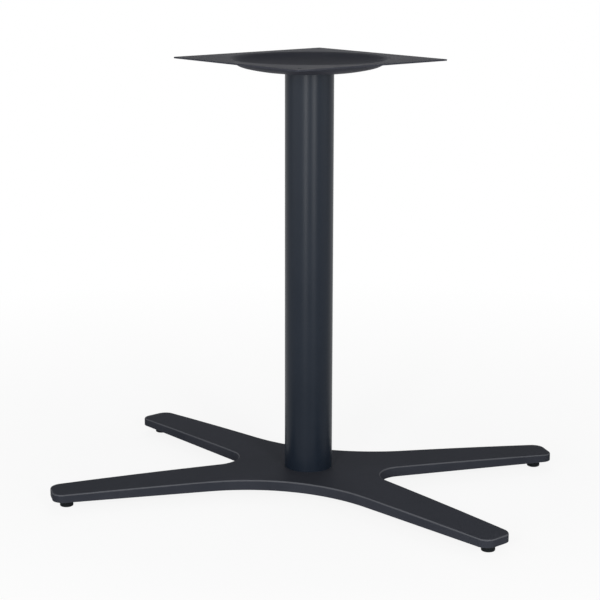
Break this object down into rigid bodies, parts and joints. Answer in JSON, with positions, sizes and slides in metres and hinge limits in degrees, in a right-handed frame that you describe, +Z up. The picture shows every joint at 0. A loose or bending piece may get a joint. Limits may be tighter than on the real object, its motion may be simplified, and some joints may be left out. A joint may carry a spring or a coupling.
{
  "type": "table base",
  "caption": "Pedestal table base: crowned cross-shaped foot casting with levelling feet, round steel column and a square pressed top plate, all in charcoal powder coat.",
  "frame": {"origin": "on the floor under the column's axis, midway between the four feet", "axes": "+Z up along the column, X along the longer way of the cross foot, Y along the shorter way"},
  "size_m": [0.726, 0.4738, 0.69],
  "materials": {
    "casting": "charcoal powder coat, fine satin texture",
    "column": "charcoal powder coat, satin",
    "plate": "charcoal powder coat, satin",
    "zinc_steel": "bright zinc plate",
    "foot_plastic": "moulded black plastic"
  },
  "bodies": {
    "pedestal": {"x_base": "casting", "column_tube": "column", "top_plate": "plate", "tie_bolt": "zinc_steel", "head_washer": "zinc_steel", "clamp_washer": "zinc_steel", "spring_washer": "zinc_steel", "clamp_nut": "zinc_steel"},
    "foot_1": {"foot_stud_1": "zinc_steel", "foot_pad_1": "foot_plastic"},
    "foot_2": {"foot_stud_2": "zinc_steel", "foot_pad_2": "foot_plastic"},
    "foot_3": {"foot_stud_3": "zinc_steel", "foot_pad_3": "foot_plastic"},
    "foot_4": {"foot_stud_4": "zinc_steel", "foot_pad_4": "foot_plastic"}
  },
  "joints": [
    {"name": "foot_1_level", "type": "slide", "parent": "pedestal", "child": "foot_1", "axis": [0, 0, -1], "range_m": [0, 0.004]},
    {"name": "foot_2_level", "type": "slide", "parent": "pedestal", "child": "foot_2", "axis": [0, 0, -1], "range_m": [0, 0.004]},
    {"name": "foot_3_level", "type": "slide", "parent": "pedestal", "child": "foot_3", "axis": [0, 0, -1], "range_m": [0, 0.004]},
    {"name": "foot_4_level", "type": "slide", "parent": "pedestal", "child": "foot_4", "axis": [0, 0, -1], "range_m": [0, 0.004]}
  ]
}
